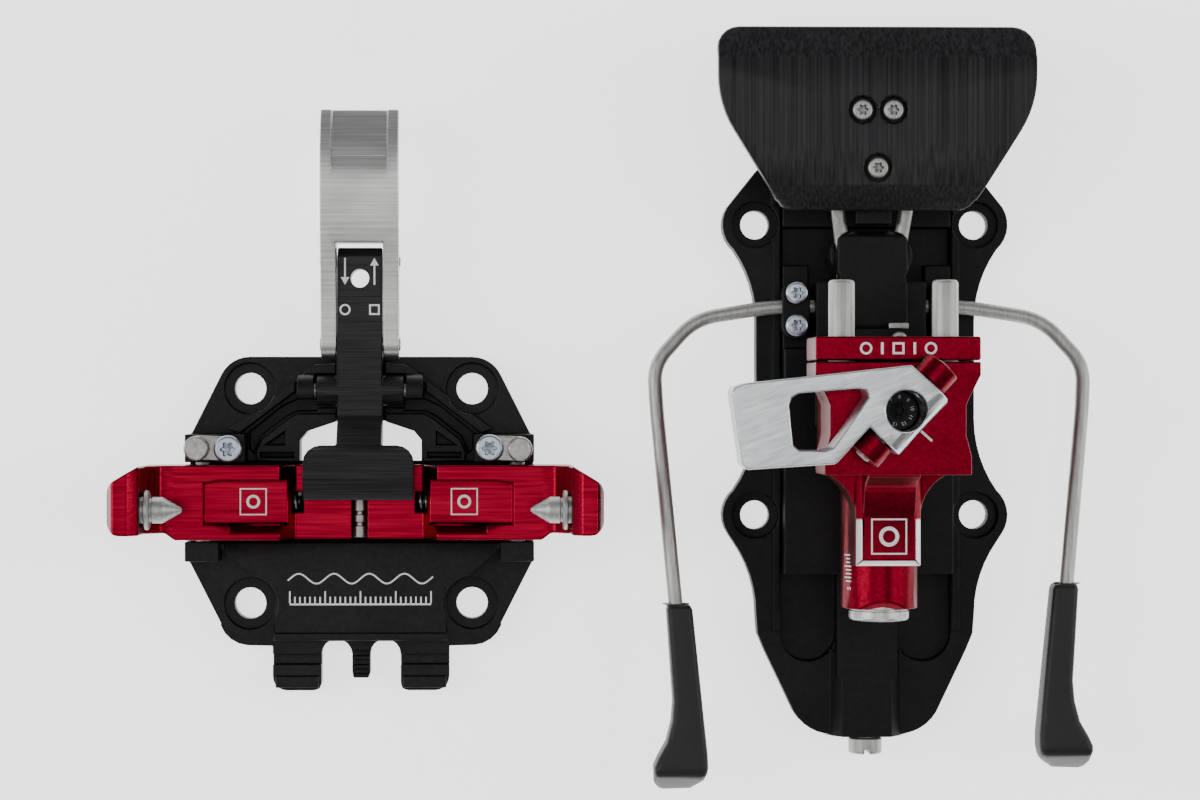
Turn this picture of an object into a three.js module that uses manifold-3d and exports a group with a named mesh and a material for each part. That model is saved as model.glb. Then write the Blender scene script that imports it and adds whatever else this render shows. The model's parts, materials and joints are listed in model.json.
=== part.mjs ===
// Touring binding: a toe unit and a heel unit lying side by side, as they are screwed to a ski.
// Millimetres. +X right, +Y towards the ski tip, +Z up. The origin is the centre of the toe unit's
// four screw holes, on the plane of the ski's top surface.
import * as THREE from 'three';
import * as BufferGeometryUtils from 'three/addons/utils/BufferGeometryUtils.js';
import Module from 'manifold-3d';

const wasm = await Module();
wasm.setup();

// ---- driving dimensions -------------------------------------------------------------------
const GAP = 0.3;                 // between pieces that touch on the real binding
const ROUND = 20;                // sides of a round piece
const SMALL_ROUND = 12;          // sides of a small round piece

// toe unit
const TOE_HOLE_X = 22.15;        // half the hole pattern's width
const TOE_HOLE_Y = 21.45;        // half its length
const TOE_FLANGE = 5;            // thickness of the toe base's flange
const TOE_DECK = 8;              // top of its raised rear panel and truss ridges
const TOE_SIDE = 34.4;           // half the toe base's width
const LUG_TOP = 12;              // top of the lugs that hold the jaw axles
const JAW_AXIS_X = 31;           // where the jaws pivot
const JAW_AXIS_Z = 8;
const JAW_FRONT = 6.4;           // the jaws' front and rear faces
const JAW_REAR = -8.2;
const JAW_TOP = 18;
const JAW_CENTRE_TOP = 12.8;     // the lower middle, under the trigger pad
const JAW_UNDERSIDE = 9;
const EAR_TOP = 31;
const PIN_Y = -2;                // the toe pins' axis
const PIN_Z = 25;
const ROCKER_AXIS_Y = 21;
const ROCKER_AXIS_Z = 8.5;
const ARM_HALF = 4.4;            // half the rocker arm's width
const ARM_LOW = 5.6;
const ARM_TOP = 11.4;
const LEVER_HALF = 7.7;
const LEVER_HINGE_Y = 30.2;
const DETENT_PIN_Y = 46.6;
const STOP_TOP = 14.2;           // top of the stop plates beside the jaws
const STOP_SCREW_SHANK = 1.5;

// heel unit, X measured from its centre line
const HEEL_X = 100.9;            // the heel unit's centre line
const HEEL_HOLE_X = 22.05;
const HEEL_HOLE_FRONT = 54.3;
const HEEL_HOLE_REAR = -3.9;
const HEEL_FLANGE = 5;
const RAIL_TOP = 6;
const CHANNEL_HALF = 17.1;
const CHANNEL_FLOOR = 2.5;
const CARRIAGE_HALF = 16.8;
const CARRIAGE_TOP = 10.5;
const SCREW_Z = 4.6;             // the adjuster screw's axis
const BRAKE_Y = 37.7;            // the brake's axis
const BRAKE_Z = 9;
const WIRE_R = 1.4;
const WIRE_STEPS = 48;
const TURRET_Y = 17.2;           // the turret's vertical axis
const TURRET_LOW = 17;
const TURRET_TOP = 49.5;
const TURRET_SHOULDER = 35;      // the head is wider than the foot above this height
const TURRET_FOOT = 11.2;        // half the foot's width
const SPINE_TOP = 37.6;
const HEEL_PIN_X = 9.7;
const HEEL_PIN_Z = 43;
const TUBE_Z = 24;               // the release spring's axis
const RISER_Z = 55;              // the riser's hinge axis
const DIAL_R = 3.65;
const RISER_ANGLE = THREE.MathUtils.degToRad(48);
const RIB_HALF = 6;              // the rib that houses the adjuster screw
const RIB_TOP = 7.6;
const RIB_FRONT = 12.5;
const BRAKE_TRAY = 4.2;          // the carriage's floor under the brake
const CLAMP_SEAT = 7;
const CLAMP_TOP = 11.8;
const CLAMP_SCREW_X = 14.6;
const CLAMP_SCREW_Y = [40.3, 33.9];
const BLOCK_TOP = 15.8;          // top of the hammer-shaped plate
const PAD_TOP = 23.6;
const PAD_SCREWS = [[-3, 75.4], [3, 75.4], [0, 64.2]];
const ARM_FRONT_LEFT = -20.9;    // where the plastic feet begin
const ARM_FRONT_RIGHT = -16.9;

// ---- materials ------------------------------------------------------------------------------
const finish = (color, roughness, metalness) => ({ color, roughness, metalness });
const BLACK_ANODISED = finish(0x17181a, 0.42, 0.6);
const MATTE_BLACK = finish(0x101113, 0.6, 0.4);
const RED_ANODISED = finish(0x9c0c16, 0.3, 0.85);
const SILVER = finish(0xc4c4c2, 0.34, 0.95);
const RAW_ALUMINIUM = finish(0xc9cacb, 0.3, 0.95);
const STEEL = finish(0xa9aaab, 0.28, 0.95);
const ZINC = finish(0xb4bcc6, 0.32, 0.9);
const NICKEL = finish(0x8f8c86, 0.4, 0.9);
const BLACK_PLASTIC = finish(0x151617, 0.7, 0);
const SPRING_STEEL = finish(0x77787a, 0.35, 0.9);

// ---- shape helpers ----------------------------------------------------------------------------
function toSolid(geometry) {
  geometry.deleteAttribute('normal');
  geometry.deleteAttribute('uv');
  const merged = BufferGeometryUtils.mergeVertices(geometry, 1e-4);
  const mesh = new wasm.Mesh({
    numProp: 3,
    vertProperties: new Float32Array(merged.attributes.position.array),
    triVerts: new Uint32Array(merged.index.array),
  });
  return new wasm.Manifold(mesh);
}

function toGeometry(solid) {
  const mesh = solid.getMesh();
  const geometry = new THREE.BufferGeometry();
  geometry.setAttribute('position', new THREE.BufferAttribute(mesh.vertProperties, 3));
  geometry.setIndex(new THREE.BufferAttribute(mesh.triVerts, 1));
  return geometry;
}

const join = (...solids) => solids.reduce((sum, solid) => sum.add(solid));
const cut = (solid, ...tools) => tools.reduce((rest, tool) => rest.subtract(tool), solid);

function outline(points) {
  return new THREE.Shape(points.map(([x, y]) => new THREE.Vector2(x, y)));
}

// A closed outline from its right half, listed from the front to the back.
function mirroredOutline(rightHalf) {
  const left = rightHalf.filter(([x]) => x > 0).map(([x, y]) => [-x, y]).reverse();
  return outline([...rightHalf, ...left]);
}

const extrude = (shape, depth) => new THREE.ExtrudeGeometry(shape, { depth, bevelEnabled: false });

// A plan outline, upright between two heights.
function plate(shape, low, high) {
  return toSolid(extrude(shape, high - low).translate(0, 0, low));
}

// A front view outline (x, z), from the rear face to the front face.
function frontProfile(points, rear, front) {
  const geometry = extrude(outline(points), front - rear);
  return toSolid(geometry.rotateX(Math.PI / 2).translate(0, front, 0));
}

// A side view outline (y, z), between two values of x.
function sideProfile(points, left, right) {
  const geometry = extrude(outline(points), right - left);
  return toSolid(geometry.rotateX(Math.PI / 2).rotateZ(Math.PI / 2).translate(left, 0, 0));
}

function box(x0, x1, y0, y1, z0, z1) {
  const geometry = new THREE.BoxGeometry(x1 - x0, y1 - y0, z1 - z0);
  return toSolid(geometry.translate((x0 + x1) / 2, (y0 + y1) / 2, (z0 + z1) / 2));
}

function alignTo(geometry, from, to) {
  const direction = new THREE.Vector3().subVectors(to, from).normalize();
  const turn = new THREE.Quaternion().setFromUnitVectors(new THREE.Vector3(0, 1, 0), direction);
  return geometry.applyQuaternion(turn).translate(from.x, from.y, from.z);
}

// A turned piece: [radius, distance along the axis] steps from one end to the other.
function turned(steps, from, to, sides = ROUND) {
  const profile = steps.map(([radius, along]) => new THREE.Vector2(radius, along));
  return toSolid(alignTo(new THREE.LatheGeometry(profile, sides), from, to));
}

function rod(radius, from, to, sides = ROUND) {
  const start = new THREE.Vector3(...from);
  const end = new THREE.Vector3(...to);
  const length = start.distanceTo(end);
  return turned([[0, 0], [radius, 0], [radius, length], [0, length]], start, end, sides);
}

// A rod with chamfered ends.
function chamferedRod(radius, from, to, chamfer, sides = ROUND) {
  const start = new THREE.Vector3(...from);
  const end = new THREE.Vector3(...to);
  const length = start.distanceTo(end);
  const steps = [[0, 0], [radius - chamfer, 0], [radius, chamfer],
    [radius, length - chamfer], [radius - chamfer, length], [0, length]];
  return turned(steps, start, end, sides);
}

// An open coil spring drawn as a closed corrugated sleeve.
function springSleeve(outer, wire, coils, from, to) {
  const start = new THREE.Vector3(...from);
  const end = new THREE.Vector3(...to);
  const pitch = start.distanceTo(end) / coils;
  const steps = [[outer - 2 * wire, 0], [outer - wire, 0]];
  for (let coil = 0; coil < coils; coil += 1) {
    steps.push([outer, (coil + 0.5) * pitch]);
    steps.push([outer - wire, (coil + 1) * pitch]);
  }
  steps.push([outer - 2 * wire, coils * pitch]);
  steps.push([outer - 2 * wire, 0]);
  return turned(steps, start, end, SMALL_ROUND);
}

// A path of straight stretches joined by rounded corners.
function roundedPath(points, radius) {
  const path = new THREE.CurvePath();
  const corners = points.map((point) => new THREE.Vector3(...point));
  let start = corners[0];
  for (let i = 1; i < corners.length - 1; i += 1) {
    const before = new THREE.Vector3().subVectors(corners[i - 1], corners[i]);
    const after = new THREE.Vector3().subVectors(corners[i + 1], corners[i]);
    const reach = Math.min(radius, before.length() * 0.45, after.length() * 0.45);
    const enter = corners[i].clone().addScaledVector(before.normalize(), reach);
    const leave = corners[i].clone().addScaledVector(after.normalize(), reach);
    path.add(new THREE.LineCurve3(start, enter));
    path.add(new THREE.QuadraticBezierCurve3(enter, corners[i], leave));
    start = leave;
  }
  path.add(new THREE.LineCurve3(start, corners.at(-1)));
  return path;
}

function bentRod(points, bendRadius, radius, steps, sides = 12) {
  const section = new THREE.Shape();
  for (let side = 0; side < sides; side += 1) {
    const angle = (side / sides) * 2 * Math.PI;
    const corner = [radius * Math.cos(angle), radius * Math.sin(angle)];
    if (side === 0) section.moveTo(...corner);
    else section.lineTo(...corner);
  }
  const sweep = { steps, extrudePath: roundedPath(points, bendRadius), bevelEnabled: false };
  return toSolid(new THREE.ExtrudeGeometry(section, sweep));
}

// The same solid on the other side of x = 0.
function mirrorX(solid) {
  const geometry = toGeometry(solid).scale(-1, 1, 1);
  const index = geometry.index.array;
  for (let i = 0; i < index.length; i += 3) [index[i], index[i + 1]] = [index[i + 1], index[i]];
  return toSolid(geometry);
}

// Builds a right-hand solid and its mirrored twin as one.
const bothSides = (solid) => join(solid, mirrorX(solid));

function arcPoints(cx, cy, radius, fromDegrees, toDegrees, steps) {
  return Array.from({ length: steps + 1 }, (_, i) => {
    const angle = THREE.MathUtils.degToRad(fromDegrees + ((toDegrees - fromDegrees) * i) / steps);
    return [cx + radius * Math.cos(angle), cy + radius * Math.sin(angle)];
  });
}

// A straight slot with round ends, as an outline in plan.
function stadium(x0, y0, x1, y1, radius) {
  const lean = THREE.MathUtils.radToDeg(Math.atan2(y1 - y0, x1 - x0));
  return outline([
    ...arcPoints(x1, y1, radius, lean - 90, lean + 90, 8),
    ...arcPoints(x0, y0, radius, lean + 90, lean + 270, 8),
  ]);
}

const group = new THREE.Group();

function addPart(parent, name, solid, look) {
  const mesh = new THREE.Mesh(toGeometry(solid), new THREE.MeshStandardMaterial(look));
  mesh.name = name;
  parent.add(mesh);
}

// ---- toe unit -----------------------------------------------------------------------------------
const toe = new THREE.Group();
group.add(toe);

function counterboredHole(x, y, holeRadius, boreRadius, boreFloor, top) {
  return join(
    rod(holeRadius, [x, y, -1], [x, y, boreFloor + 0.5]),
    rod(boreRadius, [x, y, boreFloor], [x, y, top]),
  );
}

function toePlanOutline() {
  return mirroredOutline([
    ...arcPoints(TOE_HOLE_X, TOE_HOLE_Y, 6.35, 90, 26, 6),
    [33.6, 12.8],
    [TOE_SIDE, 11.8],
    [TOE_SIDE, -12.6],
    [27.9, -25.4],
    ...arcPoints(22.2, -23.6, 6.2, -20, -86, 4),
    [17.6, -29.9],
    [17.6, -35.8],
    ...arcPoints(14.8, -36, 2.8, 0, -90, 5),
    ...arcPoints(9.4, -37.3, 1.5, -90, -180, 3),
    ...arcPoints(4.85, -31.6, 3.05, 0, 180, 8),
    [1.8, -35.2],
    [1.5, -36.3],
  ]);
}

// The raised panel behind the jaws curves round the rear screws.
function rearPanel() {
  return plate(mirroredOutline([
    [27.8, -9.2],
    [27.8, -10.2],
    ...arcPoints(TOE_HOLE_X, -TOE_HOLE_Y, 5.8, 96, 205, 10),
    [17.4, -28.6],
  ]), TOE_FLANGE - 1, TOE_DECK);
}

function toeBase() {
  const flange = plate(toePlanOutline(), 0, TOE_FLANGE);
  const trussRidge = plate(outline([
    [4.9, 26.4], [8.8, 26.2], [10.4, 25.2], [26.2, 13.4], [24, 12.6], [9.4, 23.6], [4.9, 24.4],
  ]), TOE_FLANGE - 1, TOE_DECK);
  const windowRim = plate(outline([
    [4.9, 16.4], [12.6, 16.4], [14.4, 15.4], [19.6, 11.4], [20.8, 9], [20.8, 6.9], [4.9, 6.9],
  ]), TOE_FLANGE - 1, TOE_DECK - 1);
  const frontLug = plate(outline([
    [22.6, 6.9], [TOE_SIDE, 6.9], [TOE_SIDE, 12.4], [22.6, 12.4],
  ]), TOE_FLANGE - 1, LUG_TOP);
  const rearLug = plate(outline([
    [27.8, -12.7], [TOE_SIDE, -12.7], [TOE_SIDE, -8.8], [27.8, -8.8],
  ]), TOE_FLANGE - 1, LUG_TOP);
  const crossbar = box(-17, 17, -28.5, -27.1, TOE_DECK - 1, TOE_DECK + 0.8);
  const hookLip = box(8.4, 17, -38.2, -35.9, 1, TOE_FLANGE + 0.9);
  const right = join(trussRidge, windowRim, frontLug, rearLug, frontAxleLug(), hookLip);
  const block = join(flange, rearPanel(), bothSides(right), crossbar);
  return cut(block, ...toeBaseCuts());
}

function frontAxleLug() {
  const profile = [
    [ROCKER_AXIS_Y - 3.4, TOE_FLANGE - 1], [ROCKER_AXIS_Y + 3.4, TOE_FLANGE - 1],
    ...arcPoints(ROCKER_AXIS_Y, ROCKER_AXIS_Z, 3.2, 0, 180, 8),
  ];
  return sideProfile(profile, 9.1, 12.4);
}

function toeBaseCuts() {
  const floorUnderJaws = 2;
  const trough = [
    [8.6, 19.4], [12.8, 19.4], [15.8, 18], [22.3, 12.8], [22.3, 9.4], [21.4, 8.4],
    [21.2, 9.4], [20, 12], [14.8, 16], [12.8, 17], [8.6, 17],
  ];
  const trianglePocket = [[15, 13], [15, 10.2], [19, 10.2]];
  const cuts = [];
  for (const side of [-1, 1]) {
    const mirrored = (points) => outline(points.map(([x, y]) => [side * x, y]));
    cuts.push(counterboredHole(side * TOE_HOLE_X, TOE_HOLE_Y, 3.15, 5.15, 3.6, 20));
    cuts.push(counterboredHole(side * TOE_HOLE_X, -TOE_HOLE_Y, 3.15, 5.15, 3.6, 20));
    cuts.push(rod(1.8, [side * JAW_AXIS_X, -12, JAW_AXIS_Z], [side * JAW_AXIS_X, 14, JAW_AXIS_Z]));
    cuts.push(plate(mirrored(trough), 2.4, 12));
    cuts.push(plate(mirrored(trianglePocket), 4, 12));
    cuts.push(plate(mirrored([[13.2, 8.7], [20, 8.7], [20, 7.7], [13.2, 7.7]]), 3, 12));
    cuts.push(plate(mirrored([[7.9, -31.6], [18, -31.6], [18, -33.6], [7.9, -33.6]]), 3.2, 12));
  }
  for (const y of [-31.4, -33.2, -35]) cuts.push(box(-2, 2, y - 0.5, y + 0.5, 4.2, 12));
  cuts.push(rod(1.7, [-13, ROCKER_AXIS_Y, ROCKER_AXIS_Z], [13, ROCKER_AXIS_Y, ROCKER_AXIS_Z]));
  cuts.push(box(-9.1, 9.1, ROCKER_AXIS_Y - 3.4, ROCKER_AXIS_Y + 3.4, 4, 14));
  cuts.push(box(-36, 36, JAW_REAR - 0.6, JAW_FRONT + 0.5, floorUnderJaws, 30));
  cuts.push(sideProfile([[-8, 20], [-8, TOE_DECK - 1], [-13, TOE_DECK], [-13, 20]], -27, 27));
  cuts.push(plate(mirroredOutline([[4.6, 15], [10.6, 13], [12.1, 11.2], [12.1, 7], [8, 7]]), -1, 20));
  cuts.push(box(-4.8, 4.8, 11, 30, 2.4, 20));
  return cuts;
}

// The front view outline of the right jaw, anticlockwise from its inner end.
function jawOutline() {
  return [
    [1.5, JAW_UNDERSIDE], [13, JAW_UNDERSIDE - 1.4], [26, JAW_UNDERSIDE - 2.4],
    ...arcPoints(JAW_AXIS_X, JAW_AXIS_Z, 4.6, 200, 320, 6),
    [40.5, 7.6], [44.6, 11.6], [47.5, 18], [47.5, 28.6], [46.2, EAR_TOP], [43.4, EAR_TOP],
    [41.4, 29.2], [40.9, 21.6], [38.4, 18.6], [35.6, JAW_TOP], [15.4, JAW_TOP],
    [12.6, JAW_CENTRE_TOP], [1.5, JAW_CENTRE_TOP],
  ];
}

function rightJaw() {
  const plan = plate(outline([
    [0, JAW_REAR], [35.8, JAW_REAR], [37.6, -6.8], ...arcPoints(44.9, -4.2, 2.6, -90, 0, 5),
    ...arcPoints(44.9, 1.4, 2.6, 0, 50, 3), [41.6, JAW_FRONT], [0, JAW_FRONT],
  ]), 0, 40);
  const bar = frontProfile(jawOutline(), JAW_REAR, JAW_FRONT).intersect(plan);
  const topPocket = plate(outline([[11, -5], [30.2, -5], [30.2, 2.9], [27, 3.4], [11, 3.4]]), 15.2, 20);
  const pocketChamfer = sideProfile([[-5.1, 16.2], [-7, 18.1], [-5.1, 18.1]], 12, 25);
  const axleBore = rod(1.95, [JAW_AXIS_X, -9, JAW_AXIS_Z], [JAW_AXIS_X, 7, JAW_AXIS_Z]);
  const pinBore = rod(2.9, [35, PIN_Y, PIN_Z], [45, PIN_Y, PIN_Z]);
  const springBore = box(11, 24.6, -2.9, 1.1, 5, 13.6);
  return cut(bar, topPocket, pocketChamfer, axleBore, pinBore, springBore);
}

function toePin() {
  const steps = [
    [0, 0], [0.45, 0], [2.55, 3.6], [2.55, 6.2], [3.8, 6.2], [3.8, 7.2], [2.6, 7.3], [2.6, 11], [0, 11],
  ];
  return turned(steps, new THREE.Vector3(33.5, PIN_Y, PIN_Z), new THREE.Vector3(44.6, PIN_Y, PIN_Z));
}

// A cap screw with a six-lobe socket, head up, seated at the given height.
function capScrew(x, y, seat, headRadius, headHeight, shankRadius, shankLength) {
  const chamfer = headRadius * 0.16;
  const steps = [
    [0, -shankLength], [shankRadius, -shankLength], [shankRadius, 0], [headRadius, 0],
    [headRadius, headHeight - chamfer], [headRadius - chamfer, headHeight], [0, headHeight],
  ];
  const base = new THREE.Vector3(x, y, seat);
  const up = new THREE.Vector3(x, y, seat + 1);
  const socketRadius = headRadius * 0.5;
  const lobes = new THREE.Shape(Array.from({ length: 24 }, (_, i) => {
    const angle = (i / 24) * 2 * Math.PI;
    const radius = socketRadius * (0.86 + 0.14 * Math.cos(6 * angle));
    return new THREE.Vector2(x + radius * Math.cos(angle), y + radius * Math.sin(angle));
  }));
  const socket = plate(lobes, seat + headHeight * 0.35, seat + headHeight + 1);
  return cut(turned(steps, base, up, SMALL_ROUND), socket);
}

function stopPlate(studX, studY, screwX, screwY) {
  const body = plate(stadium(studX, studY, screwX, screwY, 2.5), LUG_TOP + GAP, STOP_TOP);
  const reach = STOP_SCREW_SHANK + 0.2;
  const screwHole = rod(reach, [screwX, screwY, LUG_TOP - 1], [screwX, screwY, STOP_TOP + 1]);
  return cut(body, screwHole);
}

function addStops() {
  const stops = [
    { side: 'left', stud: [-31.7, 9.7], screw: [-25.6, 9.5] },
    { side: 'right', stud: [31.6, 9.5], screw: [25.6, 9.7] },
  ];
  for (const { side, stud, screw } of stops) {
    addPart(toe, `stop_plate_${side}`, stopPlate(...stud, ...screw), NICKEL);
    const foot = STOP_TOP + GAP;
    const post = chamferedRod(2.4, [...stud, foot], [...stud, foot + 3.2], 0.4);
    addPart(toe, `stop_stud_${side}`, post, NICKEL);
    const head = capScrew(...screw, foot, 2.75, 1.6, STOP_SCREW_SHANK, foot - LUG_TOP - 0.2);
    addPart(toe, `stop_screw_${side}`, head, ZINC);
  }
}

const onRockerAxis = (x) => [x, ROCKER_AXIS_Y, ROCKER_AXIS_Z];
const onLeverHinge = (x) => [x, LEVER_HINGE_Y, ROCKER_AXIS_Z];

function rockerArm() {
  const padTop = [[10.3, 17.2], [9.4, 18.9], [4.1, 19.9], [0.4, 18.4], [-0.4, 17.6]];
  const profile = [
    [7.6, ARM_LOW], [47.4, ARM_LOW], [49.3, ARM_LOW + 1.6], [49.3, ARM_TOP - 1.8],
    [47.6, ARM_TOP], [16, ARM_TOP], [10.6, 16.6], ...padTop, [-0.4, 16.6], [7.6, 16.6],
  ];
  const spine = sideProfile(profile, -ARM_HALF, ARM_HALF);
  const padPlan = outline([
    [-10.8, -0.4], [10.8, -0.4],
    ...arcPoints(7.4, 6.9, 3.4, 0, 90, 4),
    ...arcPoints(-7.4, 6.9, 3.4, 90, 180, 4),
  ]);
  const padSection = [[-0.4, 16.6], [10.3, 16.6], ...padTop];
  const pad = sideProfile(padSection, -10.8, 10.8).intersect(plate(padPlan, 10, 25));
  const barrel = chamferedRod(3, onRockerAxis(-8.7), onRockerAxis(8.7), 0.3);
  const hingeBore = rod(1.5, onLeverHinge(-6), onLeverHinge(6));
  const axleBore = rod(1.8, onRockerAxis(-10), onRockerAxis(10));
  const eye = rod(1.85, [0, 43.2, 0], [0, 43.2, 20]);
  return cut(join(spine, pad, barrel), hingeBore, axleBore, eye);
}

// The lever arches from its hinge to the thumb end, which has a shallow stepped scoop.
function lever() {
  const profile = [
    ...arcPoints(LEVER_HINGE_Y, ROCKER_AXIS_Z, 3, 90, 270, 10),
    [44, 5.4], [52, 7.2], [60, 9], [66, 9.4], [72, 8.4], [75.9, 6.8], [76.5, 7.4], [76.5, 11.6],
    [74, 13.2], [70, 14.8], [65, 15.6], [60, 15.5], [54, 14.7], [48, 13.5], [42, 12.4], [36, 11.7],
  ];
  const body = sideProfile(profile, -LEVER_HALF, LEVER_HALF);
  const slot = box(-ARM_HALF - 0.25, ARM_HALF + 0.25, 20, 50.2, 0, 20);
  const thumbScoop = sideProfile([
    [78, 9.8], [76.5, 10.4], [74, 12], [70, 13.4], [67.2, 13.9], [67.2, 14.6], [65, 15.1],
    [62.6, 15.7], [62.6, 20], [78, 20],
  ], -5.5, 5.5);
  const hingeBore = rod(1.5, onLeverHinge(-9), onLeverHinge(9));
  const detentBore = rod(1.15, [-9, DETENT_PIN_Y, ROCKER_AXIS_Z], [9, DETENT_PIN_Y, ROCKER_AXIS_Z]);
  return cut(body, slot, thumbScoop, hingeBore, detentBore);
}

function addToeUnit() {
  addPart(toe, 'toe_base', toeBase(), BLACK_ANODISED);
  const jaw = rightJaw();
  const pin = toePin();
  const axleEnds = [-11.7, 12.2];
  for (const side of [-1, 1]) {
    const name = side < 0 ? 'left' : 'right';
    const place = (solid) => (side < 0 ? mirrorX(solid) : solid);
    addPart(toe, `toe_jaw_${name}`, place(jaw), RED_ANODISED);
    addPart(toe, `toe_pin_${name}`, place(pin), STEEL);
    const [rear, front] = axleEnds.map((y) => [side * JAW_AXIS_X, y, JAW_AXIS_Z]);
    const axle = chamferedRod(1.6, rear, front, 0.3, SMALL_ROUND);
    addPart(toe, `jaw_axle_${name}`, axle, STEEL);
    const spring = springSleeve(2, 0.4, 8, [side * 11.4, -0.9, 11.2], [side * 24.2, -0.9, 11.2]);
    addPart(toe, `jaw_spring_${name}`, spring, SPRING_STEEL);
  }
  const linkSteps = [
    [0, 0], [1.3, 0], [1.3, 2.2], [0.9, 2.2], [0.9, 3], [1.3, 3],
    [1.3, 4.4], [0.9, 4.4], [0.9, 5.2], [1.3, 5.2], [1.3, 13.8], [0, 13.8],
  ];
  const [linkRear, linkFront] = [-7.9, 6.3].map((y) => new THREE.Vector3(0, y, 10.6));
  const linkPin = turned(linkSteps, linkRear, linkFront, SMALL_ROUND);
  addPart(toe, 'jaw_link_pin', linkPin, STEEL);
  addStops();
  addPart(toe, 'rocker_arm', rockerArm(), BLACK_ANODISED);
  const axle = chamferedRod(1.5, onRockerAxis(-12.3), onRockerAxis(12.3), 0.2);
  addPart(toe, 'rocker_axle', axle, STEEL);
  addPart(toe, 'lever', lever(), SILVER);
  const hingePin = chamferedRod(1.3, onLeverHinge(-8), onLeverHinge(8), 0.2);
  addPart(toe, 'lever_hinge_pin', hingePin, STEEL);
  for (const side of [-1, 1]) {
    const inner = [side * (ARM_HALF + GAP), DETENT_PIN_Y, ROCKER_AXIS_Z];
    const outer = [side * (LEVER_HALF + GAP), DETENT_PIN_Y, ROCKER_AXIS_Z];
    const detent = chamferedRod(0.95, inner, outer, 0.2, SMALL_ROUND);
    addPart(toe, `lever_detent_pin_${side < 0 ? 'left' : 'right'}`, detent, STEEL);
  }
}

// ---- heel unit ----------------------------------------------------------------------------------
const heel = new THREE.Group();
heel.position.x = HEEL_X;
group.add(heel);

// The base narrows between its four screw ears by wide concave curves.
function heelPlanOutline() {
  const earRadius = 6.6;
  const sweep = 25;
  const waist = 21.9 + sweep;
  return mirroredOutline([
    [20.4, 66.4],
    [21.9, 65],
    ...arcPoints(HEEL_HOLE_X, HEEL_HOLE_FRONT, earRadius, 32, -38, 6),
    ...arcPoints(waist, 35, sweep, 145, 180, 6),
    ...arcPoints(waist, 15.4, sweep, 180, 215, 6),
    ...arcPoints(HEEL_HOLE_X, HEEL_HOLE_REAR, earRadius, 38, -35, 6),
    ...arcPoints(waist, -23.6, sweep, 145, 180, 6),
    [21.6, -27.6],
    [20.2, -31],
    ...arcPoints(6.6, -38.9, 8.9, -20, -80, 6),
    [5, -48.1],
  ]);
}

// The channel's two rear pockets end in half rounds on either side of the rib.
function rearPocket() {
  const centre = (CHANNEL_HALF + RIB_HALF) / 2;
  const radius = (CHANNEL_HALF - RIB_HALF) / 2;
  return plate(outline([
    [RIB_HALF, -20],
    [RIB_HALF, -27.6],
    ...arcPoints(centre, -27.6, radius, 180, 360, 14),
    [CHANNEL_HALF, -20],
  ]), CHANNEL_FLOOR, 20);
}

function heelBase() {
  const flange = plate(heelPlanOutline(), 0, HEEL_FLANGE);
  const channel = box(-CHANNEL_HALF, CHANNEL_HALF, -21, 64.6, CHANNEL_FLOOR, 20);
  const rail = plate(outline([
    [CHANNEL_HALF, -27], [CHANNEL_HALF, 64.6], [18.8, 64.6], [18.8, -27],
  ]), HEEL_FLANGE - 1, RAIL_TOP);
  const rib = box(-RIB_HALF, RIB_HALF, -36, RIB_FRONT, CHANNEL_FLOOR - 1, RIB_TOP);
  const ridge = frontProfile([
    [-7, HEEL_FLANGE - 1], [7, HEEL_FLANGE - 1], [7, HEEL_FLANGE],
    [4.9, RIB_TOP], [-4.9, RIB_TOP], [-7, HEEL_FLANGE],
  ], -48.1, -31);
  const holes = [];
  for (const side of [-1, 1]) {
    for (const y of [HEEL_HOLE_FRONT, HEEL_HOLE_REAR]) {
      holes.push(counterboredHole(side * HEEL_HOLE_X, y, 2.9, 4.65, 3.4, 20));
    }
  }
  const screwGroove = box(-4.2, 4.2, -11.6, RIB_FRONT + 2.4, 1.3, 20);
  const screwBore = rod(2.6, [0, -50, SCREW_Z], [0, -9, SCREW_Z]);
  const body = join(cut(flange, channel, bothSides(rearPocket())), bothSides(rail), rib, ridge);
  return cut(body, ...holes, screwGroove, screwBore);
}

// Slides along the base and carries the turret and the brake.
function carriage() {
  const rear = box(-CARRIAGE_HALF, CARRIAGE_HALF, -15.4, 29.4, CHANNEL_FLOOR + GAP, CARRIAGE_TOP);
  const tray = box(-CARRIAGE_HALF, CARRIAGE_HALF, 29, 61, CHANNEL_FLOOR + GAP, BRAKE_TRAY);
  const front = box(-CARRIAGE_HALF, CARRIAGE_HALF, 53.6, 61, CHANNEL_FLOOR + GAP, 7);
  const seat = box(11.6, CARRIAGE_HALF, 29, 46, CHANNEL_FLOOR + GAP, CLAMP_SEAT);
  const nut = box(-3.9, 3.9, 3, 11, 1.6, 9);
  const ribTunnel = box(-6.4, 6.4, -17, RIB_FRONT + 15, 0, RIB_TOP + 0.4);
  const wireClearance = rod(WIRE_R + 0.4, [-20, BRAKE_Y, BRAKE_Z], [20, BRAKE_Y, BRAKE_Z]);
  const body = join(cut(rear, ribTunnel), tray, front, bothSides(seat), nut);
  const screwBore = rod(2.6, [0, -20, SCREW_Z], [0, 12, SCREW_Z]);
  const spindleBolt = rod(3.3, [0, TURRET_Y, 7], [0, TURRET_Y, 20]);
  return cut(body, wireClearance, screwBore, spindleBolt);
}

function adjusterScrew() {
  const steps = [[0, 0], [3.0, 0], [3.35, 0.4], [3.35, 3.1], [2.2, 3.2], [2.2, 63], [0, 63]];
  const screw = turned(steps, new THREE.Vector3(0, -51.6, SCREW_Z), new THREE.Vector3(0, 20, SCREW_Z));
  const slot = box(-0.5, 0.5, -53, -50.6, 0, 10);
  return cut(screw, slot);
}

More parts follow.
